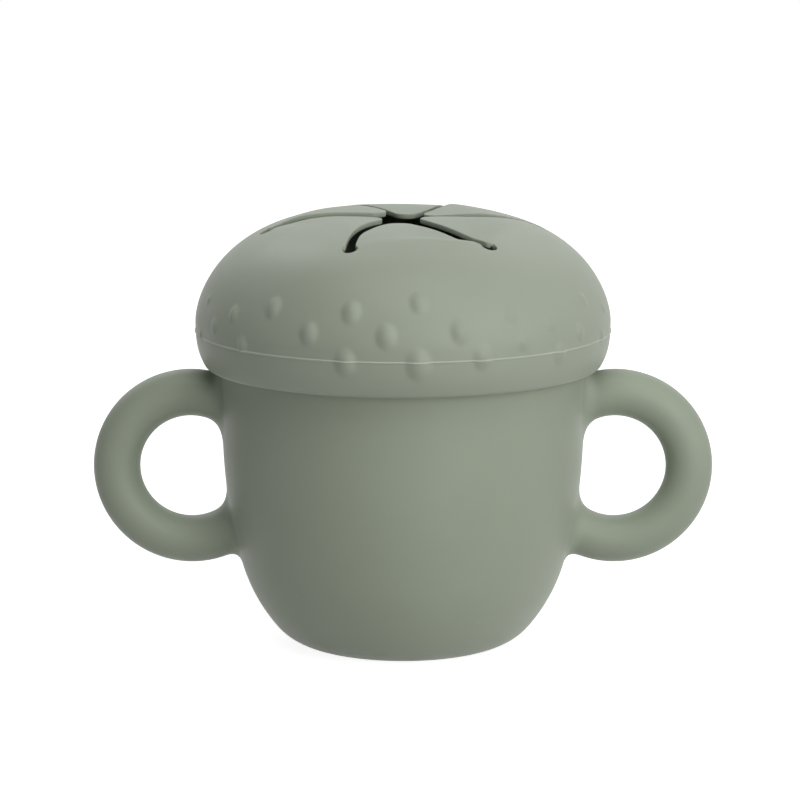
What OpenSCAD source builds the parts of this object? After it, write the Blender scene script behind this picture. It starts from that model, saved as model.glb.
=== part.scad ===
// Toddler snack cup in soft silicone: a cup with two ring handles, and a domed lid that snaps
// over the cup's rim and lets a small hand in through a star of six bending flaps.
// Millimetres. The base stands on Z = 0 and the cup's axis is Z. The handles lie along X.
// Azimuths are measured in plan from +X, except the seeds', which start at the front (-Y).

/* [Cup] */
// Radius of the flat that the cup stands on
base_r = 19.8; // [17:0.2:24]
// Radius of the curve where the base turns up into the wall
heel_r = 12.6; // [10:0.2:15]
// Radius of the curve of the lower wall
belly_r = 39; // [32:1:46]
// Radius of the long shallow curve of the upper wall
side_r = 119; // [90:1:140]
// Height of the cup's rim above the table
rim_h = 71.6; // [66:0.2:80]
// Thickness of the cup's wall
cup_wall = 2.6; // [1.8:0.1:3.4]
// Thickness of the cup's floor
cup_floor = 3.2; // [2.4:0.1:5]
// How far the snap bead stands out from the wall
bead_out = 1.5; // [1:0.1:1.8]
// Height of the snap bead
bead_h = 3.2; // [2.6:0.1:3.6]

/* [Handles] */
// Radius of a handle ring, to the middle of the grip
ring_r = 17.1; // [15:0.1:18.5]
// Radius of the round grip
grip_r = 5.35; // [4:0.05:6]
// Distance from the cup's wall to the middle of a ring
ring_out = 7.6; // [6:0.1:9]
// Gap between the top of a ring and the lid's edge
ring_gap = 1.1; // [0.6:0.1:3]

/* [Lid] */
// How far the lid stands out over the cup's wall, all round
overhang = 5.6; // [5:0.1:7]
// Height of the dome above the lid's widest line
dome_h = 24.8; // [22:0.2:30]
// Height of the lid's widest line above the cup's rim
widest_up = 3.4; // [2.6:0.1:4]
// Fullness of the dome's shoulder: 2 is round, more is squarer
shoulder_power = 3.2; // [2.4:0.1:3.4]
// Fullness of the dome's top: 2 is round, more is flatter
crown_power = 1.7; // [1.6:0.1:2.4]
// Thickness of the lid's wall
lid_wall = 2.2; // [1.6:0.1:2.6]
// How far the lid reaches below its widest line before its edge rolls in
skirt_h = 9.8; // [9.4:0.1:10.8]
// Radius of the rolled edge
edge_r = 1.4; // [1:0.1:1.6]
// Depth of the seat that rests on the rim, measured inwards from the wall's inner face
seat_in = 0.5; // [0:0.1:1.5]
// Height of the fine ridge left where the two halves of the mould met
parting_out = 0.2; // [0.1:0.05:0.4]

// Clearance between the lid and the cup wherever they face each other
snap_gap = 0.25; // [0.15:0.05:0.4]

/* [Star valve] */
// Number of flaps
flap_count = 6; // [6:1:6]
// Distance from the lid's axis to the end of a slit
slit_reach = 31; // [30:0.5:34]
// Width of a slit
slit_w = 2.2; // [1.6:0.1:2.6]
// Diameter of the round end of a slit
slit_end_d = 3.4; // [3:0.1:4]
// How far a slit bows sideways at its middle
slit_bow = 2.4; // [1.6:0.1:3]
// Direction of the first slit's end, in degrees
slit_turn = 7.8; // [0:0.2:30]
// Radius of the round tip of a flap
tip_round = 3.3; // [2.4:0.1:4]
// Thickness of the flaps
flap_t = 1.2; // [1:0.1:1.4]
// How far the middle of the valve droops below the dome
droop = 1.2; // [0.6:0.1:2.6]
// Distance from the axis at which the droop begins
droop_reach = 26; // [20:0.5:27]
// Running clearance round the root of a flap
root_gap = 0.3; // [0.2:0.05:0.4]

/* [Seeds] */
// How far a seed stands out from the lid
seed_out = 0.9; // [0.5:0.05:1.2]
// Width of a seed where it meets the lid
seed_w = 5; // [4:0.1:5.6]
// Length of a seed where it meets the lid
seed_len = 6.6; // [5.8:0.1:7]

/* [Hidden] */
silicone = [0.58, 0.62, 0.54];
silicone_lit = [0.63, 0.67, 0.59];
$fn = 96;
reach = 200;

// The wall leaves the base level, and is this steep, in degrees, at the end of each curve
heel_turn = 50;
belly_turn = 75;
side_turn = 89;

// Points on an arc that leaves the point p at slope a0 and ends at slope a1, turning upwards
function rise(p, r, a0, a1, n) =
    [for (i = [1:n]) let (a = a0 + (a1 - a0) * i / n)
        [p[0] + r * (sin(a) - sin(a0)), p[1] + r * (cos(a0) - cos(a))]];

// The cup's outer line, from the edge of the base to the end of its last curve.
// A line further in by t is the same curves with radii shorter by t.
function wall_line(t) =
    let (heel = rise([base_r, 0], heel_r - t, 0, heel_turn, 8),
         belly = rise(heel[7], belly_r - t, heel_turn, belly_turn, 5),
         side = rise(belly[4], side_r - t, belly_turn, side_turn, 4))
    concat([[base_r, 0]], heel, belly, side);

outer_line = wall_line(0);
side_top = outer_line[len(outer_line) - 1];
function wall_r(z) = side_top[0] + (z - side_top[1]) / tan(side_turn);
mouth_r = wall_r(rim_h);
rim_flat = 0.2;
rim_round = (cup_wall - rim_flat) / 2;

// The bead's section is an arc with this radius, whose ends lie on the wall
bead_z = rim_h - rim_round - bead_h / 2;
bead_arc_r = (bead_h * bead_h / 4 + bead_out * bead_out) / (2 * bead_out);
bead_sweep = asin(bead_h / 2 / bead_arc_r);
bead_outer_r = wall_r(bead_z) + bead_out;

// The lid hangs on the rim: its widest line and its rolled edge follow from there
lid_r = mouth_r + overhang;
widest_h = rim_h + widest_up;
skirt_power = 2.85;
skirt_drop_power = 2.8;
skirt_full_h = 21.4;
parting_drop = 2.3;
parting_h = widest_h - parting_drop;

// Radius and height of the dome at a share t of a quarter turn from the axis, with no droop
function shoulder(t) = lid_r * pow(sin(90 * t), 2 / shoulder_power);
function dome_z(r) =
    let (s = pow(min(1, r / lid_r), shoulder_power / 2), c = sqrt(max(0, 1 - s * s)))
    widest_h + dome_h * pow(c, 2 / crown_power)
        - (r < droop_reach ? droop * pow(1 - pow(r / droop_reach, 2), 2) : 0);

// Radius of the skirt at a drop d below the widest line
function skirt_r(d) =
    let (c = pow(d / skirt_full_h, skirt_drop_power / 2)) lid_r * pow(sqrt(1 - c * c), 2 / skirt_power);

// Radius of the lid's outside at a height z
function lid_outer_r(z) =
    z < widest_h ? skirt_r(widest_h - z)
    : let (c = pow(min(1, (z - widest_h) / dome_h), crown_power / 2))
        lid_r * pow(sqrt(1 - c * c), 2 / shoulder_power);

// Unit normal, pointing out, of the line that passes through a and b on its way down and out
function outward(a, b) = let (d = b - a) [-d[1], d[0]] / norm(d);

dome_steps = 22;
skirt_steps = 6;
dome_line = [for (i = [0:dome_steps]) let (r = shoulder(i / dome_steps)) [r, dome_z(r)]];
skirt_line = [for (i = [1:skirt_steps]) let (d = skirt_h * i / skirt_steps) [skirt_r(d), widest_h - d]];
skirt_end = skirt_line[skirt_steps - 1];
edge_normal = outward(skirt_line[skirt_steps - 2], skirt_end);
edge_slope = atan2(-edge_normal[1], edge_normal[0]);
edge_centre = skirt_end - edge_r * edge_normal;
edge_line = [for (i = [1:4]) let (a = edge_slope + (90 - edge_slope) * i / 4)
    edge_centre + edge_r * [cos(a), -sin(a)]];
lid_edge_h = edge_centre[1] - edge_r;

// Wall thickness of the lid: the valve is thin, and the wall thickens outside it
thin_margin = 1.5;
thicken_over = 3.5;
thin_reach = slit_reach + thin_margin;
thick_reach = thin_reach + thicken_over;
function thickness(r) =
    r < thin_reach ? flap_t
    : r > thick_reach ? lid_wall
    : flap_t + (lid_wall - flap_t) * (r - thin_reach) / (thick_reach - thin_reach);

// The dome's inner line: each point lies one wall thickness inside the outer line
function inner_point(r) =
    let (e = 0.05, n = outward([r, dome_z(r)], [r + e, dome_z(r + e)])) [r, dome_z(r)] - thickness(r) * n;

// The inner shoulder joins the dome's inside to the seat on the rim
shoulder_fill = 1.2;
shoulder_drop = 1.5;
shoulder_in_r = lid_r - lid_wall - shoulder_fill;
inner_r = [for (p = dome_line) if (p[0] > 0 && p[0] < shoulder_in_r) p[0]];
groove_r = bead_outer_r + snap_gap;
seat_h = rim_h + snap_gap;
seat_r = wall_r(rim_h) - cup_wall - seat_in;
seat_t = 2.4;
lip_top_h = bead_z - bead_h / 2;
lip_r = wall_r(lip_top_h) + snap_gap;
lip_tip = 1;

// The flaps' hinge lines join the ends of neighbouring slits. The thin skin that the flaps are
// cut from runs root_margin past the slits' ends, and the root bar runs root_overlap into them.
pitch = 360 / flap_count;
hinge_r = slit_reach * cos(pitch / 2);
root_overlap = 0.1;
root_margin = 1;
root_cover = 0.35;
root_top = dome_z(hinge_r);
root_low = inner_point(slit_reach)[1] - root_overlap;
hinge_h = (root_top + root_low) / 2;
root_r = (root_top - root_low) / 2 + root_cover;
root_half = slit_reach * sin(pitch / 2) - slit_end_d / 2 + root_overlap;

// A slit is an arc through the lid's axis. With the slit's end on +X, the arc's centre lies beside
// the middle of its chord, and the next slit is turned by the pitch.
slit_arc_r = (slit_reach * slit_reach / 4 + slit_bow * slit_bow) / (2 * slit_bow);
slit_half = asin(slit_reach / 2 / slit_arc_r);
slit_middle = [slit_reach / 2, slit_arc_r - slit_bow];
next_middle = [slit_middle[0] * cos(pitch) - slit_middle[1] * sin(pitch),
               slit_middle[0] * sin(pitch) + slit_middle[1] * cos(pitch)];

function bearing(a, b) = atan2(b[1] - a[1], b[0] - a[0]);
function arc(middle, r, a0, a1, n) =
    [for (i = [0:n]) let (a = a0 + (a1 - a0) * i / n) middle + r * [cos(a), sin(a)]];

// Where circles round a and b cross, on the side nearer to the axis
function crossing(a, ra, b, rb) =
    let (d = norm(b - a), u = (b - a) / d, x = (d * d + ra * ra - rb * rb) / (2 * d),
         foot = a + x * u, side = sqrt(ra * ra - x * x) * [-u[1], u[0]])
    norm(foot + side) < norm(foot - side) ? foot + side : foot - side;

// A flap's outline in plan: in along its first slit, round its tip, and out along the next slit
first_side_r = slit_arc_r - slit_w / 2;
next_side_r = slit_arc_r + slit_w / 2;
tip = crossing(slit_middle, first_side_r - tip_round, next_middle, next_side_r + tip_round);
tip_start = bearing(slit_middle, tip);
tip_end = bearing(next_middle, tip);
past_end = 3;
flap_outline = concat(
    arc(slit_middle, first_side_r, slit_half - 90 + past_end, tip_start, 10),
    [for (i = [1:9]) let (a = tip_start + (tip_end - 180 - tip_start) * i / 10)
        tip + tip_round * [cos(a), sin(a)]],
    arc(next_middle, next_side_r, tip_end, pitch + slit_half - 90 + past_end, 10));

echo(lid_r = lid_r, widest_h = widest_h, parting_h = parting_h, lid_edge_h = lid_edge_h, mouth_r = mouth_r);
echo(hinge_r = hinge_r, hinge_h = hinge_h, root_r = root_r, lip_r = lip_r, bead_outer_r = bead_outer_r);

// Handle ring's centre
ring_h = lid_edge_h - ring_gap - grip_r - ring_r;
ring_x = wall_r(ring_h) + ring_out;
echo(ring_x = ring_x, ring_h = ring_h);

// Seeds of half the lid: azimuth from the front, and height above the parting line. They are set
// by eye, as scattered as real seeds. The pattern repeats at the back and leaves the sides bare.
seed_spots = [[-72, 8.8], [-54, 7.6], [-39, 10.2], [-14.5, 10.5], [4.5, 12.6], [31, 9.2], [44, 6.6],
    [62, 9.8], [75, 6.2], [-63, 4], [-26, 5.6], [-4.5, 5.7], [15.5, 6.6], [34, 3.2], [56, 3.6],
    [-74, 0.6], [-48.5, 1.2], [-15.5, -0.2], [4, -0.5], [21.5, 0.8], [47, -0.4], [70, 0.8]];

module cup_skin() {
    bead = [for (i = [-4:4]) let (a = bead_sweep * i / 4)
        [bead_outer_r - bead_arc_r * (1 - cos(a)), bead_z + bead_arc_r * sin(a)]];
    rim_middle = [mouth_r - rim_round, rim_h - rim_round];
    rim = [for (i = [1:4]) let (a = 90 * i / 4) rim_middle + rim_round * [cos(a), sin(a)]];
    rim_inner = [mouth_r - cup_wall + rim_round, rim_h - rim_round];
    rim_back = [for (i = [0:3]) let (a = 90 + 90 * i / 4) rim_inner + rim_round * [cos(a), sin(a)]];
    inner_line = [for (p = wall_line(cup_wall)) [p[0], p[1] + cup_floor]];
    inner_wall = [for (i = [len(inner_line) - 1:-1:0]) inner_line[i]];
    rotate_extrude()
        polygon(concat([[0, 0]], outer_line, bead, rim, rim_back, inner_wall, [[0, cup_floor]]));
}

module cup_body() {
    color(silicone) cup_skin();
}

// The cup's outer shape with no hollow, which trims the handles
module cup_block() {
    rotate_extrude() polygon(concat([[0, 0]], outer_line, [[mouth_r, rim_h], [0, rim_h]]));
}

module handle(side) {
    color(silicone_lit) difference() {
        translate([side * ring_x, 0, ring_h]) rotate([90, 0, 0])
            rotate_extrude() translate([ring_r, 0]) circle(grip_r);
        cup_block();
    }
}

module seed(azimuth, z) {
    sphere_r = (seed_w * seed_w / 4 + seed_out * seed_out) / (2 * seed_out);
    spread = (seed_len - seed_w) / 2;
    e = 0.05;
    n = outward([lid_outer_r(z + e), z + e], [lid_outer_r(z), z]);
    middle = [lid_outer_r(z), z] - (sphere_r - seed_out) * n;
    rotate([0, 0, azimuth - 90]) for (i = [-1, 1]) {
        p = middle + i * spread * [-n[1], n[0]];
        translate([p[0], 0, p[1]]) sphere(sphere_r);
    }
}

module seeds() {
    for (half = [0:1], spot = seed_spots) seed(spot[0] + 180 * half, parting_h + spot[1]);
}

// Everything inside the lid's outer surface
module lid_block() {
    rotate_extrude() polygon(concat(
        [for (p = dome_line) p], skirt_line, edge_line, [[0, lid_edge_h]]));
}

// The hollow under the dome, down past the lid's edge
module lid_hollow() {
    roof = [for (r = inner_r) inner_point(r)];
    last = roof[len(roof) - 1];
    rotate_extrude() polygon(concat([[0, inner_point(0.01)[1]]], roof,
        [[last[0], last[1] - shoulder_drop], [seat_r, seat_h + seat_t], [seat_r, seat_h],
         [groove_r, seat_h], [groove_r, lid_edge_h - edge_r], [0, lid_edge_h - edge_r]]));
}

module slit_end(k) {
    a = slit_turn + pitch * k;
    translate([slit_reach * cos(a), slit_reach * sin(a), 0]) cylinder(d = slit_end_d, h = reach);
}

// A round bar along flap k's hinge line
module root_bar(k, r, half) {
    rotate([0, 0, slit_turn + pitch * (k + 0.5)]) translate([hinge_r, half, hinge_h])
        rotate([90, 0, 0]) cylinder(r = r, h = 2 * half, $fn = 48);
}

module valve_opening() {
    rotate([0, 0, slit_turn]) cylinder(r = slit_reach, h = reach, $fn = flap_count);
    for (k = [0:flap_count - 1]) {
        slit_end(k);
        root_bar(k, root_r + root_gap, root_half + root_gap);
    }
}

module lid_cap() {
    color(silicone_lit) difference() {
        union() {
            lid_block();
            seeds();
            rotate_extrude() translate([lid_outer_r(parting_h), parting_h]) circle(parting_out, $fn = 24);
        }
        lid_hollow();
        intersection() {
            valve_opening();
            translate([0, 0, widest_h]) cylinder(r = lid_r, h = reach);
        }
    }
}

module lid_grip_lip() {
    color(silicone) rotate_extrude() polygon([[groove_r, lid_edge_h], [groove_r, lip_top_h],
        [lip_r + lip_tip / 2, lip_top_h], [lip_r, lip_top_h - lip_tip / 2],
        [lip_r, lid_edge_h + lip_tip], [lip_r + lip_tip, lid_edge_h]]);
}

// The thin middle of the dome, from the axis to a little past the hinge lines
module valve_skin() {
    skin_r = slit_reach + root_margin;
    n = 12;
    top = [for (i = [0:n]) let (r = skin_r * i / n) [r, dome_z(r)]];
    under = [for (i = [n:-1:0]) let (r = max(0.01, skin_r * i / n)) inner_point(r)];
    rotate_extrude() polygon(concat(top, [for (p = under) [max(0, p[0]), p[1]]]));
}

// Flap k lies between slit k and slit k + 1
module valve_flap(k) {
    color(silicone_lit) intersection() {
        valve_skin();
        difference() {
            rotate([0, 0, slit_turn + pitch * k]) linear_extrude(reach) polygon(flap_outline);
            slit_end(k);
            slit_end(k + 1);
        }
        union() {
            rotate([0, 0, slit_turn + pitch * (k + 0.5)]) translate([0, -reach / 2, 0])
                cube([hinge_r, reach, reach]);
            root_bar(k, root_r, root_half);
        }
    }
}

cup_body();
handle(-1);  // left_handle
handle(1);  // right_handle
lid_cap();
lid_grip_lip();
valve_flap(0);  // valve_flap_1
valve_flap(1);  // valve_flap_2
valve_flap(2);  // valve_flap_3
valve_flap(3);  // valve_flap_4
valve_flap(4);  // valve_flap_5
valve_flap(5);  // valve_flap_6
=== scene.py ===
import math
import bmesh
import bpy
import numpy as np
from mathutils import Matrix, Vector


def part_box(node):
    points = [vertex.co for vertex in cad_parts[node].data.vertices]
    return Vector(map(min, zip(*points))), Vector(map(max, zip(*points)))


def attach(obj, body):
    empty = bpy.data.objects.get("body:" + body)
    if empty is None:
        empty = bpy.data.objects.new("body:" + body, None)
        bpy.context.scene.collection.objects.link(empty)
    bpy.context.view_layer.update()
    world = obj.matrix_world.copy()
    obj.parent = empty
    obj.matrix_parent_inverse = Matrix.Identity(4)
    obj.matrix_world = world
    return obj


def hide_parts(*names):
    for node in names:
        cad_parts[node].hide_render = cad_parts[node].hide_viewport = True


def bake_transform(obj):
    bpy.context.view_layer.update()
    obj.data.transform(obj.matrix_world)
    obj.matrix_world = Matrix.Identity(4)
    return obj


# A soft silicone snack cup for a toddler: a cup with two ring handles, and a domed lid whose
# star of six soft petals lets a small hand in. Metres, base on Z = 0, handles along X.
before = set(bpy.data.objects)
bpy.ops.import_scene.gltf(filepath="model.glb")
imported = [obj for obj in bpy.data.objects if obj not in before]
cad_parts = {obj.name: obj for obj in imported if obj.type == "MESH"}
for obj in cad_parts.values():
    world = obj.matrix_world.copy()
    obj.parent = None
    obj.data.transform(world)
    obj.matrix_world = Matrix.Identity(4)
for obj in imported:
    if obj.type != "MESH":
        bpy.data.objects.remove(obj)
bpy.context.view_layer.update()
print("frame: the packed cup is in, with", len(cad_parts), "nodes")


# Lines in the section plane, as (radius, height)

def arcPoints(centre, radius, fromDegrees, toDegrees, steps):
    turns = np.radians(np.linspace(fromDegrees, toDegrees, steps + 1))
    return [(centre[0] + radius * math.cos(a), centre[1] + radius * math.sin(a)) for a in turns]


def lengthAlong(line):
    return np.concatenate([[0], np.cumsum(np.hypot(*np.diff(line, axis=0).T))])


def evenLine(line, step):
    # the same line with its points a fixed step apart, ends kept
    line = np.array(line)
    along = lengthAlong(line)
    places = np.linspace(0, along[-1], max(1, round(along[-1] / step)) + 1)
    return np.column_stack([np.interp(places, along, line[:, 0]), np.interp(places, along, line[:, 1])])


def roundedLine(corners, steps=4):
    # corners are (radius, height, rounding), and each one but the line's two ends becomes an arc
    points = [corners[0][:2]]
    for before, here, after in zip(corners, corners[1:], corners[2:]):
        spot = np.array(here[:2])
        towards = [np.array(p[:2]) - spot for p in (before, after)]
        towards = [t / np.linalg.norm(t) for t in towards]
        half = math.acos(max(-1, min(1, towards[0] @ towards[1]))) / 2
        middle = towards[0] + towards[1]
        centre = spot + middle / np.linalg.norm(middle) * here[2] / math.sin(half)
        first, last = (spot + t * here[2] / math.tan(half) - centre for t in towards)
        start = math.degrees(math.atan2(first[1], first[0]))
        swing = math.degrees(math.atan2(last[1], last[0])) - start
        swing = (swing + 180) % 360 - 180
        points += arcPoints(centre, here[2], start, start + swing, steps)
    return points + [corners[-1][:2]]


def spunSkin(section, columns, firstTurn=0.0):
    # spins an eighth of the turn, and copies it round, which is quicker than one full spin
    bm = bmesh.new()
    across = Vector((math.cos(firstTurn), math.sin(firstTurn), 0))
    verts = [bm.verts.new(across * float(r) + Vector((0, 0, float(z)))) for r, z in section]
    edges = [bm.edges.new(pair) for pair in zip(verts, verts[1:])]
    bmesh.ops.spin(bm, geom=verts + edges, cent=(0, 0, 0), axis=(0, 0, 1), dvec=(0, 0, 0),
                   angle=math.pi / 4, steps=columns // 8, use_merge=False)
    sector = list(bm.verts) + list(bm.edges) + list(bm.faces)
    for eighth in range(1, 8):
        copied = bmesh.ops.duplicate(bm, geom=sector)["geom"]
        bmesh.ops.rotate(bm, cent=(0, 0, 0), matrix=Matrix.Rotation(eighth * math.pi / 4, 3, "Z"),
                         verts=[g for g in copied if isinstance(g, bmesh.types.BMVert)])
    bmesh.ops.remove_doubles(bm, verts=bm.verts, dist=1e-6)
    return bm


def boundaryLoops(bm):
    # the open edges, sorted into loops
    left = {e for e in bm.edges if e.is_boundary}
    loops = []
    while left:
        loop, grow = [], [left.pop()]
        while grow:
            edge = grow.pop()
            loop.append(edge)
            near = {e for v in edge.verts for e in v.link_edges} & left
            left -= near
            grow += near
        loops.append(loop)
    return loops


def crossingEdges(faces, *loops):
    # the edges that run across a strip of faces, from one loop to the other
    taken = {e for loop in loops for e in loop}
    return list({e for f in faces for e in f.edges} - taken)


def finishedPiece(name, bm, material):
    bmesh.ops.recalc_face_normals(bm, faces=bm.faces)
    mesh = bpy.data.meshes.new(name)
    bm.to_mesh(mesh)
    bm.free()
    mesh.shade_smooth()
    mesh.materials.append(material)
    piece = bpy.data.objects.new(name, mesh)
    bpy.context.scene.collection.objects.link(piece)
    return piece


# Silicone finish, shared by the cup and the lid

def siliconeSkin():
    group = bpy.data.node_groups.new("siliconeSkin", "ShaderNodeTree")
    for name, kind in (("Position", "NodeSocketVector"), ("Tint", "NodeSocketColor"),
                       ("Dust Tint", "NodeSocketColor"), ("Mottle", "NodeSocketFloat"),
                       ("Dust", "NodeSocketFloat"), ("Base Roughness", "NodeSocketFloat")):
        group.interface.new_socket(name, in_out="INPUT", socket_type=kind)
    for name, kind in (("Color", "NodeSocketColor"), ("Roughness", "NodeSocketFloat"),
                       ("Height", "NodeSocketFloat")):
        group.interface.new_socket(name, in_out="OUTPUT", socket_type=kind)
    nodes, links = group.nodes, group.links
    given, out = nodes.new("NodeGroupInput"), nodes.new("NodeGroupOutput")

    def noise(scale, detail, roughness):
        node = nodes.new("ShaderNodeTexNoise")
        node.inputs["Scale"].default_value = scale
        node.inputs["Detail"].default_value = detail
        node.inputs["Roughness"].default_value = roughness
        links.new(given.outputs["Position"], node.inputs["Vector"])
        return node.outputs["Fac"]

    def spread(value, low, high, lowOut=0.0, highOut=1.0):
        node = nodes.new("ShaderNodeMapRange")
        for key, number in (("From Min", low), ("From Max", high), ("To Min", lowOut), ("To Max", highOut)):
            node.inputs[key].default_value = number
        links.new(value, node.inputs["Value"])
        return node.outputs["Result"]

    def sums(kind, a, b):
        node = nodes.new("ShaderNodeMath")
        node.operation = kind
        for socket, value in zip(node.inputs, (a, b)):
            if isinstance(value, (int, float)):
                socket.default_value = value
            else:
                links.new(value, socket)
        return node.outputs["Value"]

    def mixed(amount, a, b, kind="MIX"):
        # inputs 6 and 7 and output 2 are the colours of a Mix node
        node = nodes.new("ShaderNodeMix")
        node.data_type = "RGBA"
        node.blend_type = kind
        for socket, value in ((node.inputs["Factor"], amount), (node.inputs[6], a), (node.inputs[7], b)):
            links.new(value, socket)
        return node.outputs[2]

    clouds = noise(38, 3, 0.55)          # soft patches about 25 mm across
    smudges = noise(150, 4, 0.6)         # handling marks, about 6 mm
    grain = noise(2600, 2, 0.5)          # mould grain, about 0.4 mm
    pores = noise(900, 3, 0.6)
    cells = nodes.new("ShaderNodeTexVoronoi")      # dust specks, one per 5 mm cell, few of them shown
    cells.inputs["Scale"].default_value = 210
    links.new(given.outputs["Position"], cells.inputs["Vector"])
    near = spread(cells.outputs["Distance"], 0.035, 0.015)
    chosen = spread(noise(61, 0, 0.5), 0.55, 0.62)
    specks = sums("MULTIPLY", sums("MULTIPLY", near, chosen), given.outputs["Dust"])

    shade = sums("MULTIPLY", sums("SUBTRACT", clouds, 0.5), given.outputs["Mottle"])
    fine = sums("MULTIPLY", sums("SUBTRACT", smudges, 0.5), sums("MULTIPLY", given.outputs["Mottle"], 0.5))
    tone = sums("ADD", sums("ADD", shade, fine), 1.0)
    grey = nodes.new("ShaderNodeCombineColor")
    for socket in grey.inputs:
        links.new(tone, socket)
    full = nodes.new("ShaderNodeValue")
    full.outputs[0].default_value = 1.0
    toned = mixed(full.outputs[0], given.outputs["Tint"], grey.outputs["Color"], "MULTIPLY")
    links.new(mixed(specks, toned, given.outputs["Dust Tint"]), out.inputs["Color"])

    rough = sums("ADD", given.outputs["Base Roughness"], spread(smudges, 0.3, 0.7, -0.05, 0.05))
    links.new(sums("ADD", rough, sums("MULTIPLY", specks, 0.2)), out.inputs["Roughness"])
    lumps = sums("ADD", sums("MULTIPLY", grain, 0.6), sums("MULTIPLY", pores, 0.8))
    links.new(sums("ADD", lumps, specks), out.inputs["Height"])
    return group


finish = {
    "cupTint": (0.304, 0.348, 0.268, 1),       # sage green, linear
    "lidTint": (0.322, 0.363, 0.287, 1),
    # pale colour of the dust specks, also used for the painted highlight along the lid's mould line
    "dustAndLineHighlightTint": (0.62, 0.66, 0.60, 1),
    "mottle": 0.09,
    "dust": 0.55,
    "roughness": 0.5,
    "sheen": 0.12,
    "mouldLineHighlight": 0.35,             # how strongly the painted highlight lightens the lid's mould line
    "mouldLineHeight": 0.0727,
    "mouldLineFade": (0.0003, 0.0001),         # from its edges in to the painted highlight's full strength
    "grain": 0.35,
    "grainDepth": 0.00002,
}
skinGroup = siliconeSkin()


def siliconeMaterial(name, tint, lineHeight=None):
    material = bpy.data.materials.new(name)
    material.use_nodes = True
    nodes, links = material.node_tree.nodes, material.node_tree.links
    shader = nodes["Principled BSDF"]
    where = nodes.new("ShaderNodeTexCoord")
    skin = nodes.new("ShaderNodeGroup")
    skin.node_tree = skinGroup
    skin.inputs["Tint"].default_value = tint
    skin.inputs["Dust Tint"].default_value = finish["dustAndLineHighlightTint"]
    skin.inputs["Mottle"].default_value = finish["mottle"]
    skin.inputs["Dust"].default_value = finish["dust"]
    skin.inputs["Base Roughness"].default_value = finish["roughness"]
    bump = nodes.new("ShaderNodeBump")
    bump.inputs["Strength"].default_value = finish["grain"]
    bump.inputs["Distance"].default_value = finish["grainDepth"]
    links.new(where.outputs["Object"], skin.inputs["Position"])
    if lineHeight is None:
        links.new(skin.outputs["Color"], shader.inputs["Base Color"])
    else:
        # painted highlight: a pale hairline along the ridge where the two halves of the mould met
        apart, pale = nodes.new("ShaderNodeSeparateXYZ"), nodes.new("ShaderNodeMix")
        above, away = nodes.new("ShaderNodeMath"), nodes.new("ShaderNodeMath")
        line = nodes.new("ShaderNodeMapRange")
        above.operation, away.operation = "SUBTRACT", "ABSOLUTE"
        above.inputs[1].default_value = lineHeight
        edge, core = finish["mouldLineFade"]
        for key, value in (("From Min", edge), ("From Max", core), ("To Max", finish["mouldLineHighlight"])):
            line.inputs[key].default_value = value
        pale.data_type = "RGBA"
        pale.inputs[7].default_value = finish["dustAndLineHighlightTint"]
        links.new(where.outputs["Object"], apart.inputs["Vector"])
        links.new(apart.outputs["Z"], above.inputs[0])
        links.new(above.outputs[0], away.inputs[0])
        links.new(away.outputs[0], line.inputs["Value"])
        links.new(line.outputs["Result"], pale.inputs["Factor"])
        links.new(skin.outputs["Color"], pale.inputs[6])
        links.new(pale.outputs[2], shader.inputs["Base Color"])
    links.new(skin.outputs["Roughness"], shader.inputs["Roughness"])
    links.new(skin.outputs["Height"], bump.inputs["Height"])
    links.new(bump.outputs["Normal"], shader.inputs["Normal"])
    shader.inputs["IOR"].default_value = 1.41
    shader.inputs["Sheen Weight"].default_value = finish["sheen"]
    shader.inputs["Sheen Roughness"].default_value = 0.5
    return material


cupSilicone = siliconeMaterial("cupSilicone", finish["cupTint"])
# the lid's material also paints a highlight along its mould line
lidSilicone = siliconeMaterial("lidSilicone", finish["lidTint"], finish["mouldLineHeight"])
print("materials: matt silicone for the cup and the lid")


# Cup with its two ring handles, one moulding

cup = {
    "baseRadius": 0.0198,          # flat that it stands on
    "wallCurves": ((0.0126, 50), (0.039, 75), (0.119, 89)),    # radius, and steepness where it ends
    "rimHeight": 0.0716,
    "wall": 0.0026,
    "floor": 0.0032,
    "rimFlat": 0.0002,
    "beadOut": 0.0015,             # bead that the lid snaps over
    "beadHeight": 0.0032,
    "columns": 320,
    "rowStep": 0.0008,
}
handle = {
    "ringRadius": 0.0171,          # to the middle of the grip
    "gripRadius": 0.00535,
    "ringOut": 0.0076,             # from the wall to the ring's middle
    "underLid": 0.0011,            # gap between the ring and the lid's edge
    "filletRadius": 0.0034,        # soft fillet where a grip grows out of the wall
    "sides": 80,
    "rings": 86,
    "rootTurns": (80, -72),        # where the plain grip starts and ends, degrees round the ring
    "rootHeights": (0.0556, 0.0266),
    "patch": 20,                   # wall faces along each side of a root
    "patchReach": 0.02,            # no face of a root's patch is farther up or down than this
    "filletCuts": 7,
    "smoothing": 12,
}


def wallLine(inset):
    r, z, turn = cup["baseRadius"], 0.0, 0.0
    line = [(r, z)]
    for radius, endTurn in cup["wallCurves"]:
        a0 = math.radians(turn)
        for a in np.radians(np.linspace(turn, endTurn, 41)[1:]):
            line.append((r + (radius - inset) * (math.sin(a) - math.sin(a0)),
                         z + (radius - inset) * (math.cos(a0) - math.cos(a))))
        (r, z), turn = line[-1], endTurn
    return line


outerWall = wallLine(0)
sideTop, sideTurn = outerWall[-1], math.radians(cup["wallCurves"][-1][1])


def wallRadius(z):
    # outside of the cup's upper wall, above its last curve
    return sideTop[0] + (z - sideTop[1]) / math.tan(sideTurn)


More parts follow.
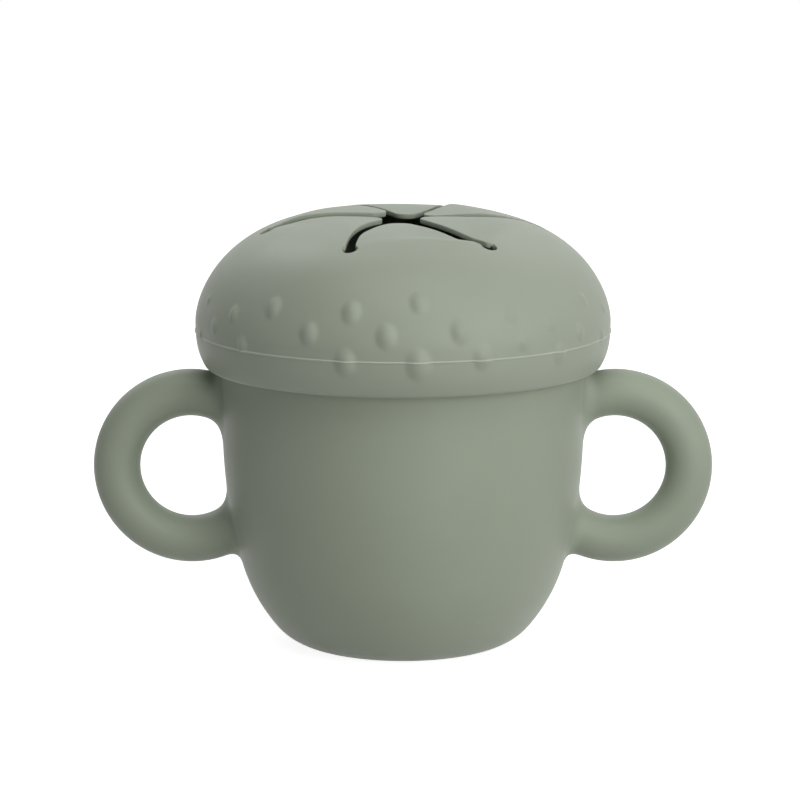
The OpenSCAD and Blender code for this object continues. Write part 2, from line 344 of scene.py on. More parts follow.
mouthRadius = wallRadius(cup["rimHeight"])
rimRound = (cup["wall"] - cup["rimFlat"]) / 2
beadMiddle = cup["rimHeight"] - rimRound - cup["beadHeight"] / 2
beadArc = (cup["beadHeight"] ** 2 / 4 + cup["beadOut"] ** 2) / (2 * cup["beadOut"])
beadSweep = math.degrees(math.asin(cup["beadHeight"] / 2 / beadArc))
beadOuter = wallRadius(beadMiddle) + cup["beadOut"]
beadFoot = beadMiddle - cup["beadHeight"] / 2
wallTop = [*outerWall, (wallRadius(beadFoot), beadFoot)]
wallRows = evenLine(wallTop, cup["rowStep"])
wallAlong = lengthAlong(wallRows)
rowStep = wallAlong[1]


def cupSection():
    under = [(r, 0.0) for r in np.linspace(0, cup["baseRadius"], 12)[:-1]]
    bead = arcPoints((beadOuter - beadArc, beadMiddle), beadArc, -beadSweep, beadSweep, 10)[1:]
    low = cup["rimHeight"] - rimRound
    rim = arcPoints((mouthRadius - rimRound, low), rimRound, 0, 90, 6)
    back = arcPoints((mouthRadius - cup["wall"] + rimRound, low), rimRound, 90, 180, 6)
    inner = [(r, z + cup["floor"]) for r, z in wallLine(cup["wall"])]
    inner = evenLine([*inner, back[-1]], 2 * cup["rowStep"])[::-1][1:]
    floorLine = [(r, cup["floor"]) for r in np.linspace(cup["baseRadius"], 0, 10)[1:]]
    return [*under, *wallRows, *bead[:-1], *rim, *back, *inner, *floorLine]


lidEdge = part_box("lid_cap")[0].z
ringHeight = lidEdge - handle["underLid"] - handle["gripRadius"] - handle["ringRadius"]
wallSlope = np.gradient(wallRows[:, 0], wallRows[:, 1])


def wallGap(points):
    # how far each point stands outside the cup's wall
    z = points[:, 2]
    out = np.hypot(points[:, 0], points[:, 1]) - np.interp(z, wallRows[:, 1], wallRows[:, 0])
    return out / np.sqrt(1 + np.interp(z, wallRows[:, 1], wallSlope) ** 2)


ringX = float(np.interp(ringHeight, wallRows[:, 1], wallRows[:, 0])) + handle["ringOut"]


def gripGap(points):
    ring = np.hypot(np.abs(points[:, 0]) - ringX, points[:, 2] - ringHeight) - handle["ringRadius"]
    return np.hypot(ring, points[:, 1]) - handle["gripRadius"]


def skinGap(points):
    # wall and grips run into each other through a soft fillet
    wall, grip, soft = wallGap(points), gripGap(points), handle["filletRadius"]
    share = np.clip(soft - np.abs(wall - grip), 0, None) / soft
    return np.minimum(wall, grip) - share ** 2 * soft / 4


def settle(verts, rounds):
    # moves the verts onto the filleted skin
    points = np.array([v.co for v in verts], float)
    tiny = 1e-6
    for _ in range(rounds):
        gap = skinGap(points)
        slope = np.column_stack([(skinGap(points + tiny * axis) - gap) / tiny for axis in np.eye(3)])
        points -= slope * (gap / (slope ** 2).sum(axis=1))[:, None]
    for v, co in zip(verts, points):
        v.co = co


def openRoot(bm, side, height):
    # takes a square patch out of the wall, and returns the edges round it
    row = round(float(np.interp(height, wallRows[:, 1], wallAlong)) / rowStep) * rowStep
    reach = handle["patch"] / 2
    chosen = set()
    for f in bm.faces:
        c = f.calc_center_median()
        turn = math.atan2(c.y, c.x * side) / (2 * math.pi) * cup["columns"]
        if abs(turn) > reach or abs(c.z - height) > handle["patchReach"] or c.z > beadFoot:
            continue
        away = (float(np.interp(c.z, wallRows[:, 1], wallAlong)) - row) / rowStep
        outside = math.hypot(c.x, c.y) / float(np.interp(c.z, wallRows[:, 1], wallRows[:, 0]))
        if abs(away) < reach and abs(outside - 1) < 0.01:
            # within a hundredth of the outer wall, so not on the inner one
            chosen.add(f)
    rim = [e for e in {e for f in chosen for e in f.edges} if len(set(e.link_faces) & chosen) == 1]
    bmesh.ops.delete(bm, geom=list(chosen), context="FACES")
    return rim


def gripTube(side):
    # the plain part of one ring handle, open at both roots
    tube = bmesh.new()
    middle = Vector((side * ringX, 0, ringHeight))
    first, last = (math.radians(t) for t in handle["rootTurns"])
    out = Vector((-side * math.cos(first), 0, math.sin(first)))
    turned = Matrix((out, Vector((0, 1, 0)), out.cross(Vector((0, 1, 0))))).transposed().to_4x4()
    ring = bmesh.ops.create_circle(tube, segments=handle["sides"], radius=handle["gripRadius"],
                                   matrix=Matrix.Translation(middle + handle["ringRadius"] * out) @ turned)
    bmesh.ops.spin(tube, geom=ring["verts"] + list(tube.edges), cent=middle, axis=(0, side, 0),
                   dvec=(0, 0, 0), angle=2 * math.pi - first + last, steps=handle["rings"], use_merge=False)
    mesh = bpy.data.meshes.new("grip")
    tube.to_mesh(mesh)
    tube.free()
    return mesh


def addHandle(bm, side):
    grip = gripTube(side)
    bm.from_mesh(grip)
    bpy.data.meshes.remove(grip)
    ends = sorted(boundaryLoops(bm), key=lambda loop: -loop[0].verts[0].co.z)
    for height, gripLoop in zip(handle["rootHeights"], ends):
        patchLoop = openRoot(bm, side, height)
        joined = bmesh.ops.bridge_loops(bm, edges=patchLoop + gripLoop)
        crossing = crossingEdges(joined["faces"], patchLoop, gripLoop)
        cut = bmesh.ops.subdivide_edges(bm, edges=crossing, cuts=handle["filletCuts"])
        zone = {g for g in cut["geom_inner"] if isinstance(g, bmesh.types.BMVert)}
        zone = list(zone | {v for e in patchLoop for v in e.verts})
        for _ in range(handle["smoothing"]):
            bmesh.ops.smooth_vert(bm, verts=zone, factor=0.5, use_axis_x=True, use_axis_y=True,
                                  use_axis_z=True)
            settle(zone, 2)


def buildCup():
    bm = spunSkin(cupSection(), cup["columns"])
    for side in (1, -1):
        addHandle(bm, side)
    # the grips and the wall beside them settle once more, without the base, the inside and the bead
    near = [v for v in bm.verts if abs(v.co.x) > 0.6 * mouthRadius and abs(v.co.y) < 0.5 * mouthRadius
            and 0.008 < v.co.z < beadFoot - 1e-5
            and math.hypot(v.co.x, v.co.y) > 0.97 * np.interp(v.co.z, wallRows[:, 1], wallRows[:, 0])]
    settle(near, 6)
    return finishedPiece("cup_shell", bm, cupSilicone)


cupShell = buildCup()
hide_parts("cup_body", "left_handle", "right_handle")
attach(cupShell, "cup")
print("cup: wall, floor and both handles,", len(cupShell.data.polygons), "faces")


# Lid, without its petals

lid = {
    "overhang": 0.0056,            # stands out over the cup's wall all round
    "domeHeight": 0.0248,
    "widestUp": 0.0034,            # widest line, above the cup's rim
    "shoulderPower": 3.2,
    "crownPower": 1.7,
    "skirtHeight": 0.0098,
    "skirtPower": 2.85,
    "skirtDropPower": 2.8,
    "skirtFullHeight": 0.0214,
    "edgeRadius": 0.0014,
    "wall": 0.0022,
    "insideEnd": 0.0012,           # the dome's inner line stops this far inside the wall
    "thinWall": 0.0012,            # the star valve's own thickness
    "thinTo": 0.0325,
    "thickFrom": 0.036,
    "snapGap": 0.00025,
    "seatIn": 0.0005,
    "seatThickness": 0.0024,
    "lipRounds": (0.0009, 0.0006, 0.0003, 0.0005, 0.0006, 0.0006, 0.002),    # inner corners, lip to dome
    "domeFoot": 0.0015,            # the last of them, below the end of the dome's inner line
    "partingDrop": 0.0023,         # mould line, below the widest line
    "partingRidge": 0.0002,
    "partingWidth": 0.00016,
    "partingRoom": 0.0007,         # the finer rows of the mould line reach this far up and down
    "droop": 0.0012,               # the valve's middle hangs a little below the dome
    "droopReach": 0.026,
    "frontSag": 0.00075,           # the used, softened front of the dome hangs a little more
    "frontSagSpan": (0.004, 0.018),            # where it starts in front of the axis, and how far it grows
    "frontSagEdge": (0.040, 0.010),            # where it ends round the axis, and how far it fades
    "columns": 600,
    "rowStep": 0.00046,
}
star = {
    "slitReach": 0.031,
    "slitWidth": 0.0022,
    "slitEndRadius": 0.0017,
    "slitEndTurn": math.radians(120),          # a slit's round end runs this far to each side
    "slitBow": 0.0024,
    "slitTurn": math.radians(7.8),
    "tipRound": 0.0033,
    "petals": 6,
    "endSteps": 12,                # along each half of a slit's round end
    "chordSteps": 76,              # along a petal's root
    "rows": 60,                    # from a petal's root to its tip
    "border": 0.00028,             # edge strip that takes the rounding
    "edgeRound": 0.0002,
    "ringCuts": 8,                 # rows of faces between the top ring and the star
}
seeds = {
    "height": 0.0008,
    "width": 0.0054,
    "length": 0.0070,
    "softness": 1.6,               # more makes the mounds steeper in the middle and softer at the foot
    # on half the lid: degrees round from the front, millimetres above the mould line, size
    "spots": ((-72, 8.8, 0.4), (-54, 7.6, 0.7), (-39, 10.2, 0.85), (-14.5, 10.5, 0.9),
              (4.5, 12.6, 0.85), (31, 9.2, 0.7), (44, 6.6, 0.7), (62, 9.8, 0.6), (75, 6.2, 0.4),
              (-63, 4, 0.6), (-26, 5.6, 0.9), (-4.5, 5.7, 0.95), (15.5, 6.6, 0.95), (34, 3.2, 0.7),
              (56, 3.6, 0.7), (-74, 0.6, 0.45), (-48.5, 1.2, 0.7), (-15.5, -0.2, 1), (4, -0.5, 1.15),
              (21.5, 0.8, 0.95), (47, -0.4, 0.85), (70, 0.8, 0.5)),
}
lidRadius = mouthRadius + lid["overhang"]
widest = cup["rimHeight"] + lid["widestUp"]
partingHeight = widest - lid["partingDrop"]
topRing = lid["thickFrom"]          # inside it the dome's mesh follows the star


def softStep(share):
    share = max(0.0, min(1.0, share))
    return share * share * (3 - 2 * share)


def domeZ(r):
    full = np.minimum(1, np.asarray(r, float) / lidRadius) ** (lid["shoulderPower"] / 2)
    sag = lid["droop"] * np.clip(1 - (np.asarray(r, float) / lid["droopReach"]) ** 2, 0, 1) ** 2
    return widest + lid["domeHeight"] * np.sqrt(1 - full * full) ** (2 / lid["crownPower"]) - sag


def skirtR(drop):
    c = (drop / lid["skirtFullHeight"]) ** (lid["skirtDropPower"] / 2)
    return lidRadius * np.sqrt(1 - c * c) ** (2 / lid["skirtPower"])


def domeLine(fromR, steps):
    # from a radius out to the widest line, closer together where it is steep
    first = math.asin((fromR / lidRadius) ** (lid["shoulderPower"] / 2))
    r = lidRadius * np.sin(np.linspace(first, math.pi / 2, steps)) ** (2 / lid["shoulderPower"])
    return np.column_stack([r, domeZ(r)])


def insideLine():
    # the dome's inner line lies one wall thickness inside the outer one
    r = np.linspace(1e-5, lidRadius - lid["wall"] - lid["insideEnd"], 500)
    z = domeZ(r)
    slope = np.gradient(z, r)
    thick = np.interp(r, (lid["thinTo"], lid["thickFrom"]), (lid["thinWall"], lid["wall"]))
    size = np.sqrt(1 + slope ** 2)
    return np.column_stack([r + thick * slope / size, z - thick / size])


inside = insideLine()


def insideZ(r):
    return np.interp(r, inside[:, 0], inside[:, 1])


def frontSag(x, y):
    (start, grow), (end, fade) = lid["frontSagSpan"], lid["frontSagEdge"]
    return lid["frontSag"] * softStep((-y - start) / grow) * softStep((end - math.hypot(x, y)) / fade)


def topZ(x, y):
    return float(domeZ(math.hypot(x, y)) - frontSag(x, y))


def underZ(x, y):
    return float(insideZ(math.hypot(x, y)) - frontSag(x, y))


def lidSkin():
    # the outer skin from the top ring down to the rolled edge, then back up the inside
    drops = np.linspace(0, lid["skirtHeight"], 60)[1:]
    outer = evenLine([*domeLine(topRing, 400), *zip(skirtR(drops), widest - drops)], lid["rowStep"])
    keep = np.abs(outer[:, 1] - partingHeight) > lid["partingRoom"]
    ridge = partingHeight + np.array([6, 4, 2.6, 1.6, 0.8, 0, -0.8, -1.6, -2.6, -4, -6]) * 1e-4
    away = np.abs(ridge - partingHeight) / lid["partingWidth"]
    bump = lid["partingRidge"] * np.clip(1 - away ** 2 / 2, 0, None) ** 2
    line = [(r, z) for r, z in outer[keep] if z > partingHeight]
    line += [(float(np.interp(-z, -outer[:, 1], outer[:, 0])) + b, z) for z, b in zip(ridge, bump)]
    line += [(r, z) for r, z in outer[keep] if z < partingHeight]
    end, before = outer[-1], outer[-2]
    down = (end - before) / np.linalg.norm(end - before)
    normal = np.array([-down[1], down[0]])
    centre = end - lid["edgeRadius"] * normal
    slope = math.degrees(math.atan2(-normal[1], normal[0]))
    roll = arcPoints(centre, lid["edgeRadius"], -slope, -90, 7)[1:]
    edgeZ = centre[1] - lid["edgeRadius"]
    grooveR = beadOuter + lid["snapGap"]
    lipR = wallRadius(beadFoot) + lid["snapGap"]
    seatZ = cup["rimHeight"] + lid["snapGap"]
    seatR = mouthRadius - cup["wall"] - lid["seatIn"]
    shoulder = tuple(inside[-1])
    corners = ((lipR, edgeZ), (lipR, beadFoot), (grooveR, beadFoot), (grooveR, seatZ), (seatR, seatZ),
               (seatR, seatZ + lid["seatThickness"]), (shoulder[0], shoulder[1] - lid["domeFoot"]))
    corners = [(r, z, soft) for (r, z), soft in zip(corners, lid["lipRounds"])]
    lip = roundedLine([(roll[-1][0], edgeZ, 0), *corners, (*shoulder, 0)])[1:]
    back = inside[inside[:, 0] > topRing][::-1]
    back = evenLine([*back, (topRing, insideZ(topRing))], 4 * lid["rowStep"])[1:]
    return [*line, *roll, *lip, *back], outer


def starCorners(k):
    # the two ends of petal k's root, on the line between the ends of its slits
    ends = [Vector((math.cos(a), math.sin(a))) * star["slitReach"]
            for a in (star["slitTurn"] + math.pi / 3 * k, star["slitTurn"] + math.pi / 3 * (k + 1))]
    along = (ends[1] - ends[0]).normalized() * star["slitEndRadius"]
    return ends[0] + along, ends[1] - along


hingeReach = star["slitReach"] * math.cos(math.pi / 6)
rootHalf = (starCorners(0)[1] - starCorners(0)[0]).length / 2


def chordShares():
    strip = star["border"] / (2 * rootHalf)
    return [0, *np.linspace(strip, 1 - strip, star["chordSteps"] - 1), 1]


rootShares = chordShares()


def starPoint(column):
    # the outline of the star's opening in the lid, by column from the first slit
    perPetal = lid["columns"] // star["petals"]
    k, step = divmod(column, perPetal)
    steps, chord = star["endSteps"], star["chordSteps"]
    if steps <= step <= steps + chord:
        first, last = starCorners(k)
        return first.lerp(last, rootShares[step - steps])
    if step > steps:
        k, step = k + 1, step - perPetal
    turn = star["slitTurn"] + math.pi / 3 * k
    out = turn + star["slitEndTurn"] * step / steps
    return Vector((math.cos(turn), math.sin(turn))) * star["slitReach"] + \
        Vector((math.cos(out), math.sin(out))) * star["slitEndRadius"]


def toStar(bm, loop, heightAt):
    # grows a ring of faces from a loop at the top ring in to the star's outline
    grown = bmesh.ops.extrude_edge_only(bm, edges=loop)["geom"]
    verts = [g for g in grown if isinstance(g, bmesh.types.BMVert)]
    faces = [g for g in grown if isinstance(g, bmesh.types.BMFace)]
    for v in verts:
        turn = (math.atan2(v.co.y, v.co.x) - star["slitTurn"]) % (2 * math.pi)
        spot = starPoint(round(turn / (2 * math.pi) * lid["columns"]) % lid["columns"])
        v.co = (spot.x, spot.y, v.co.z)
    inner = set(verts)
    ring = [e for e in {e for f in faces for e in f.edges} if all(v in inner for v in e.verts)]
    crossing = crossingEdges(faces, loop, ring)
    cut = bmesh.ops.subdivide_edges(bm, edges=crossing, cuts=star["ringCuts"])
    between = {g for g in cut["geom_inner"] if isinstance(g, bmesh.types.BMVert)}
    for v in between | {v for e in ring for v in e.verts}:
        v.co.z = heightAt(v.co.x, v.co.y)
    return ring


def onChord(point):
    # whether a point is on one of the straight roots of the petals
    turn = (math.atan2(point[1], point[0]) - star["slitTurn"]) % (math.pi / 3) - math.pi / 6
    r = math.hypot(point[0], point[1])
    return abs(r * math.cos(turn) - hingeReach) < 2e-6 and abs(r * math.sin(turn)) < rootHalf + 2e-6


def seamNormals(mesh):
    # gives both sides of a petal's root the dome's own normal, so that the joint doesn't show
    normals = [(0, 0, 0)] * len(mesh.vertices)
    tiny = 1e-5
    for v in mesh.vertices:
        if not onChord(v.co):
            continue
        x, y, z = v.co
        heightAt, up = (topZ, 1) if abs(z - topZ(x, y)) < abs(z - underZ(x, y)) else (underZ, -1)
        slopeX = (heightAt(x + tiny, y) - heightAt(x - tiny, y)) / (2 * tiny)
        slopeY = (heightAt(x, y + tiny) - heightAt(x, y - tiny)) / (2 * tiny)
        normals[v.index] = Vector((-slopeX, -slopeY, 1)).normalized() * up
    mesh.normals_split_custom_set_from_vertices(normals)


def addSeeds(bm, outer):
    # raises each seed as a soft mound square to the dome
    skin = [v for v in bm.verts if math.hypot(v.co.x, v.co.y) > 0.999 * float(
        np.interp(-v.co.z, -outer[:, 1], outer[:, 0]))]
    co = np.array([v.co for v in skin], float)
    r, along = np.hypot(co[:, 0], co[:, 1]), lengthAlong(outer)
    slope = np.gradient(outer[:, 0], along), np.gradient(outer[:, 1], along)
    place = np.interp(-co[:, 2], -outer[:, 1], along)
    out, up = -np.interp(place, along, slope[1]), np.interp(place, along, slope[0])
    azimuth = np.arctan2(co[:, 1], co[:, 0]) + math.pi / 2
    lift = np.zeros(len(skin))
    for half in (0, math.pi):
        for turn, height, scale in seeds["spots"]:
            middle = float(np.interp(-(partingHeight + height * 1e-3), -outer[:, 1], along))
            swing = (azimuth - math.radians(turn) - half + math.pi) % (2 * math.pi) - math.pi
            away = (2 * swing * r / seeds["width"]) ** 2 + (2 * (place - middle) / seeds["length"]) ** 2
            mound = np.clip(1 - away / scale ** 2, 0, None) ** seeds["softness"]
            lift = np.maximum(lift, seeds["height"] * scale * mound)
    for v, h, o, u in zip(skin, lift, out, up):
        flat = Vector((v.co.x, v.co.y, 0)).normalized()
        v.co += (flat * o + Vector((0, 0, u))) * h


def buildLid():
    section, outer = lidSkin()
    bm = spunSkin(section, lid["columns"], star["slitTurn"])
    addSeeds(bm, outer)
    for v in bm.verts:
        if v.co.z > partingHeight + 0.008:
            v.co.z -= frontSag(v.co.x, v.co.y)
    loops = sorted(boundaryLoops(bm), key=lambda loop: loop[0].verts[0].co.z)
    insideRing = toStar(bm, loops[0], underZ)
    outsideRing = toStar(bm, loops[1], topZ)
    walls = bmesh.ops.bridge_loops(bm, edges=insideRing + outsideRing)["faces"]
    rounded = []
    for e in insideRing + outsideRing:
        if all(onChord(v.co) for v in e.verts):
            e.smooth = False
        else:
            rounded.append(e)
    for e in crossingEdges(walls, insideRing, outsideRing):
        if all(onChord(v.co) for v in e.verts):
            e.smooth = False
    bmesh.ops.bevel(bm, geom=rounded, offset=star["edgeRound"], offset_type="OFFSET", affect="EDGES",
                    segments=3, profile=0.5, material=-1)
    piece = finishedPiece("lid_shell", bm, lidSilicone)
    seamNormals(piece.data)
    return piece


lidShell = buildLid()
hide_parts("lid_cap", "lid_grip_lip")
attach(lidShell, "lid")
print("lid: dome, seeds, mould line and snap lip,", len(lidShell.data.polygons), "faces")


# The six petals of the star valve

petal = {
    # how far each petal hangs below (+) or stands above (-) the even star, from the right slit on:
    # past its root, more on one side than the other there, and towards its tip
    "sags": ((-0.0003, -0.0004, 0.00045), (-0.00015, -0.0002, 0.0006), (-0.0003, -0.0001, 0.0),
             (0.00025, -0.0002, 0.0001), (0.0009, 0.00065, 0.00015), (0.0004, -0.0003, -0.0004)),
    "sagGrows": 0.0055,            # the first two grow over this length past the root
    "tiltFades": (0.004, 0.010),   # the second fades: from where past the root, and over what length
    "tipSags": (0.008, 0.015),     # the third grows: from where past the root, and over what length
    "tipNear": 0.009,              # roughly how far from the axis a round tip's middle lies
    "bendEnd": 0.018,              # a petal bends between its root and this far from the axis
}


def petalMiddle(k):
    turn = star["slitTurn"] + math.pi / 3 * (k + 0.5)
    return Vector((math.cos(turn), math.sin(turn)))


def petalSag(k, x, y):
    axis = petalMiddle(k)
    out, aside = x * axis.x + y * axis.y, y * axis.x - x * axis.y
    side = max(-1.3, min(1.3, aside / max(0.002, out * math.tan(math.pi / 6))))
    whole, tilt, tip = petal["sags"][k]
    past = hingeReach - out
    (fadeStart, fade), (tipStart, grow) = petal["tiltFades"], petal["tipSags"]
    tilt *= side * (1 - softStep((past - fadeStart) / fade))
    tip *= softStep((past - tipStart) / grow)
    return float((whole + tilt) * softStep(past / petal["sagGrows"]) + tip)


def circlesMeet(c0, r0, c1, r1, near):
    # where two circles cross, on the side nearer to a point
    gap = c1 - c0
    along = (gap.length_squared + r0 * r0 - r1 * r1) / (2 * gap.length)
    off = math.sqrt(max(0, r0 * r0 - along * along))
    base = c0 + gap.normalized() * along
    side = Vector((-gap.y, gap.x)).normalized() * off
    return min((base + side, base - side), key=lambda p: (p - near).length)


def slitArc(k, offset):
    # the end of slit k's middle line, and the circle that one side of the slit lies on
    turn = star["slitTurn"] + math.pi / 3 * k
    end = Vector((math.cos(turn), math.sin(turn))) * star["slitReach"]
    bow = star["slitBow"]
    arc = (star["slitReach"] ** 2 / 4 + bow ** 2) / (2 * bow)
    return end, end / 2 + Vector((-math.sin(turn), math.cos(turn))) * (arc - bow), arc + offset


def turnOf(point):
    return math.atan2(point[1], point[0])


def shortSwing(first, last):
    return (last - first + math.pi) % (2 * math.pi) - math.pi


def slitSide(k, offset, petalSide, tip):
    # a petal's side along slit k, from its root round the slit's end to its round tip
    end, centre, radius = slitArc(k, offset)
    atEnd = circlesMeet(end, star["slitEndRadius"], centre, radius, Vector((0, 0)))
    atTip = centre + (tip - centre).normalized() * radius
    rootTurn = star["slitTurn"] + math.pi / 3 * k + petalSide * star["slitEndTurn"]
    swing = shortSwing(rootTurn, turnOf(atEnd - end))
    line = arcPoints(end, star["slitEndRadius"], math.degrees(rootTurn), math.degrees(rootTurn + swing), 12)
    first = turnOf(atEnd - centre)
    swing = shortSwing(first, turnOf(atTip - centre))
    line += arcPoints(centre, radius, math.degrees(first), math.degrees(first + swing), 80)[1:]
    return evenLine(line, lengthAlong(np.array(line))[-1] / star["rows"])


def movedIn(line, towards):
    # a petal's side moved into the petal by the width of its border strip, with one row less
    run = np.gradient(line, axis=0)
    inward = np.column_stack([run[:, 1], -run[:, 0]]) / np.hypot(*run.T)[:, None] * towards
    inner = line + star["border"] * inward
    rows = np.linspace(0, len(line) - 1, len(line) - 1)
    return np.column_stack([np.interp(rows, range(len(line)), inner[:, i]) for i in (0, 1)])


def petalPlan(k):
    # the plan of petal k as a grid of points, root row first, from slit k to slit k + 1
    half, soft, rows = star["slitWidth"] / 2, star["tipRound"], star["rows"]
    first, second = slitArc(k, -half)[1:], slitArc(k + 1, half)[1:]
    near = petalMiddle(k) * petal["tipNear"]
    tip = circlesMeet(first[0], first[1] - soft, second[0], second[1] + soft, near)
    left, right = slitSide(k, -half, 1, tip), slitSide(k + 1, half, -1, tip)
    start, end = (turnOf(line[-1] - np.array(tip)) for line in (left, right))
    swing = (end - start) % (2 * math.pi) - 2 * math.pi

    def tipLine(radius, points):
        turns = start + np.linspace(0, 1, points) * swing
        return np.array(tip) + radius * np.column_stack([np.cos(turns), np.sin(turns)])

    shares = np.array(rootShares)
    innerTip = tipLine(soft - star["border"], len(shares) - 2)
    sides = movedIn(left, 1), movedIn(right, -1)
    sides[0][-1], sides[1][-1] = innerTip[0], innerTip[-1]
    even = np.linspace(0, 1, len(shares) - 2)[:, None]
    grid = np.zeros((rows + 1, len(shares), 2))
    grid[:, 0], grid[:, -1], grid[-1] = left, right, tipLine(soft, len(shares))
    # the rows are straight near the root, and take on the tip's roundness towards the tip
    bulge = innerTip - (sides[0][-1] + even * (sides[1][-1] - sides[0][-1]))
    for row in range(rows):
        a, b = sides[0][row], sides[1][row]
        grid[row, 1:-1] = a + even * (b - a) + (row / (rows - 1)) ** 8 * bulge
    corners = [np.array(c) for c in (left[0], right[0])]
    grid[0] = corners[0] + shares[:, None] * (corners[1] - corners[0])
    return grid


def buildPetal(k):
    rows, columns = star["rows"], star["chordSteps"]
    plan = petalPlan(k)
    bm = bmesh.new()
    bmesh.ops.create_grid(bm, x_segments=columns, y_segments=rows, size=0.5)
    rowOf = bm.verts.layers.int.new("row")
    levelOf = bm.verts.layers.int.new("level")
    for v in bm.verts:
        column, row = round((v.co.x + 0.5) * columns), round((v.co.y + 0.5) * rows)
        x, y = plan[row, column]
        v[rowOf] = row
        v.co = (x, y, topZ(x, y) - petalSag(k, x, y))
    under = bmesh.ops.extrude_face_region(bm, geom=list(bm.faces), use_keep_orig=True)["geom"]
    for v in (g for g in under if isinstance(g, bmesh.types.BMVert)):
        v.co.z -= topZ(v.co.x, v.co.y) - underZ(v.co.x, v.co.y)
        v[levelOf] = 1
    walls = {f for f in bm.faces if len({v[levelOf] for v in f.verts}) == 2}
    rounded = []
    for e in bm.edges:
        rim = len(set(e.link_faces) & walls) == 1
        root = all(v[rowOf] == 0 for v in e.verts)
        if root and (rim or (e.verts[0][levelOf] != e.verts[1][levelOf]
                             and any(v[rowOf] > 0 for f in e.link_faces for v in f.verts))):
            e.smooth = False
        elif rim:
            rounded.append(e)
    bmesh.ops.recalc_face_normals(bm, faces=bm.faces)
    bmesh.ops.bevel(bm, geom=rounded, offset=star["edgeRound"], offset_type="OFFSET", affect="EDGES",
                    segments=3, profile=0.5, material=-1)
    piece = finishedPiece(f"valve_petal_{k + 1}", bm, lidSilicone)
    seamNormals(piece.data)
    return piece


for k in range(star["petals"]):
    shape = buildPetal(k)
    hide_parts(f"valve_flap_{k + 1}")
    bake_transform(shape)
print("star valve:", star["petals"], "petals")


# Stage, light and camera

stage = {
    "floorSize": 1.3,              # radius; past it the white world shows
    "floorLight": 0.89,            # share of the floor's white that doesn't take the shadow
    "floorTint": (0.6, 0.6, 0.6, 1),           # the share that does
    "worldLevel": 0.04,            # light from all round on the cup
    # place, size, watts: most light comes from the front right, and a little from above and behind
    "lamps": {
        "lowLamp": ((0.528, -0.993, 0.289), 0.7, 5.2),
        "sideLamp": ((1.057, -0.385, 0.289), 0.7, 1.9),
        "keyLamp": ((0.604, -0.604, 0.820), 0.7, 2.4),
        "topLamp": ((0, -0.393, 1.131), 0.7, 4.1),
        "backRightLamp": ((0.427, 0.740, 0.820), 0.7, 1.3),
        "backLeftLamp": ((-0.427, 0.740, 0.820), 0.7, 2.3),
    },
    "aim": (0, 0, 0.05),
}


def paleFloor():
    # white where it is seen, while the cup still shades a part of that white
    material = bpy.data.materials.new("paleFloor")
    material.use_nodes = True
    nodes, links = material.node_tree.nodes, material.node_tree.links
    nodes.clear()
    out, add = nodes.new("ShaderNodeOutputMaterial"), nodes.new("ShaderNodeAddShader")
    matt, glow = nodes.new("ShaderNodeBsdfDiffuse"), nodes.new("ShaderNodeEmission")
    path = nodes.new("ShaderNodeLightPath")
    seen, level = (nodes.new("ShaderNodeMath") for _ in range(2))
    seen.operation = "MAXIMUM"
    level.operation = "MULTIPLY"
    level.inputs[1].default_value = stage["floorLight"]
    matt.inputs["Color"].default_value = stage["floorTint"]
    links.new(path.outputs["Is Camera Ray"], seen.inputs[0])
    links.new(path.outputs["Is Glossy Ray"], seen.inputs[1])
    links.new(seen.outputs[0], level.inputs[0])
    links.new(level.outputs[0], glow.inputs["Strength"])
    links.new(matt.outputs[0], add.inputs[0])
    links.new(glow.outputs[0], add.inputs[1])
    links.new(add.outputs[0], out.inputs["Surface"])
    return material


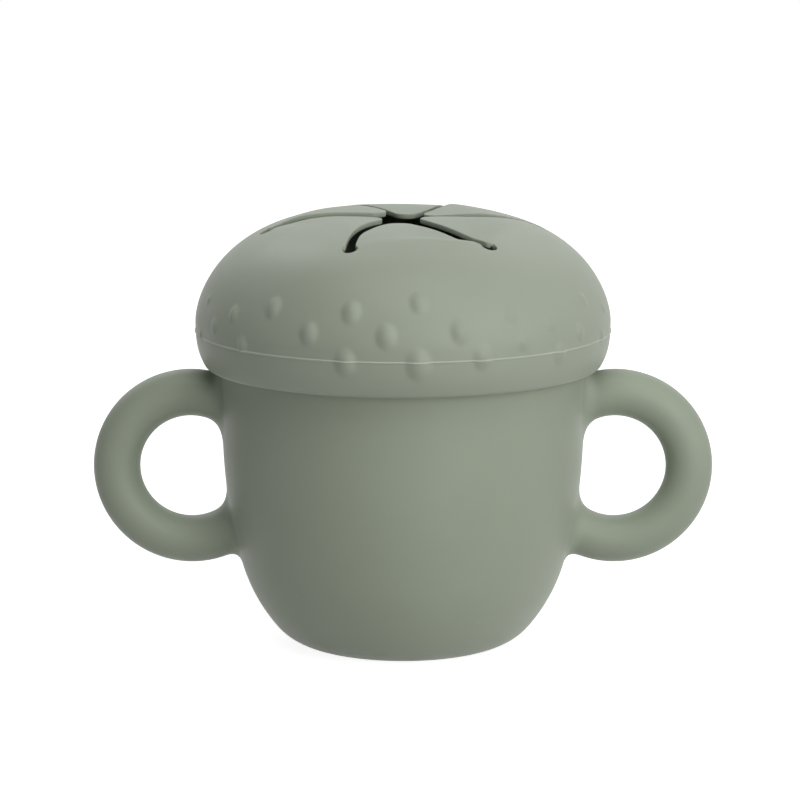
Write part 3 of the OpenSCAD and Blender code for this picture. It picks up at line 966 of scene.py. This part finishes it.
def whiteWorld():
    # white where it is seen, and a weak light elsewhere
    world = bpy.data.worlds.new("softWhite")
    world.use_nodes = True
    nodes, links = world.node_tree.nodes, world.node_tree.links
    back, path = nodes["Background"], nodes.new("ShaderNodeLightPath")
    seen, level = (nodes.new("ShaderNodeMath") for _ in range(2))
    seen.operation, level.operation = "MAXIMUM", "MULTIPLY_ADD"
    links.new(path.outputs["Is Camera Ray"], seen.inputs[0])
    links.new(path.outputs["Is Glossy Ray"], seen.inputs[1])
    links.new(seen.outputs[0], level.inputs[0])
    level.inputs[1].default_value = 1 - stage["worldLevel"]
    level.inputs[2].default_value = stage["worldLevel"]
    links.new(level.outputs[0], back.inputs["Strength"])
    back.inputs["Color"].default_value = (1, 1, 1, 1)
    bpy.context.scene.world = world


def softLamp(name, place, size, watts):
    # a square soft box, turned towards the cup
    lamp = bpy.data.lights.new(name, "AREA")
    lamp.size, lamp.energy = size, watts
    obj = bpy.data.objects.new(name, lamp)
    obj.location = place
    aim = Vector(stage["aim"]) - Vector(place)
    obj.rotation_mode = "QUATERNION"
    obj.rotation_quaternion = aim.to_track_quat("-Z", "Y")
    bpy.context.scene.collection.objects.link(obj)


bm = bmesh.new()
bmesh.ops.create_circle(bm, cap_ends=True, segments=96, radius=stage["floorSize"])
floorMesh = bpy.data.meshes.new("floor")
bm.to_mesh(floorMesh)
bm.free()
floorMesh.materials.append(paleFloor())
floorPiece = bpy.data.objects.new("floor", floorMesh)
bpy.context.scene.collection.objects.link(floorPiece)
whiteWorld()
for name, lamp in stage["lamps"].items():
    softLamp(name, *lamp)

camera = {
    "away": 0.850,                 # from the cup's axis
    "height": 0.2092,
    "aside": -0.00069,
    "pitchDown": 10.21,
    "lens": 169.8,
}
view = bpy.data.cameras.new("camera")
view.lens = camera["lens"]
view.sensor_width = 36
view.clip_start, view.clip_end = 0.01, 20
cameraPiece = bpy.data.objects.new("camera", view)
cameraPiece.location = (camera["aside"], -camera["away"], camera["height"])
cameraPiece.rotation_euler = (math.radians(90 - camera["pitchDown"]), 0, 0)
bpy.context.scene.collection.objects.link(cameraPiece)
bpy.context.scene.camera = cameraPiece
bpy.context.scene.view_settings.view_transform = "Standard"
print("stage: white floor,", len(stage["lamps"]), "soft lamps and the camera")
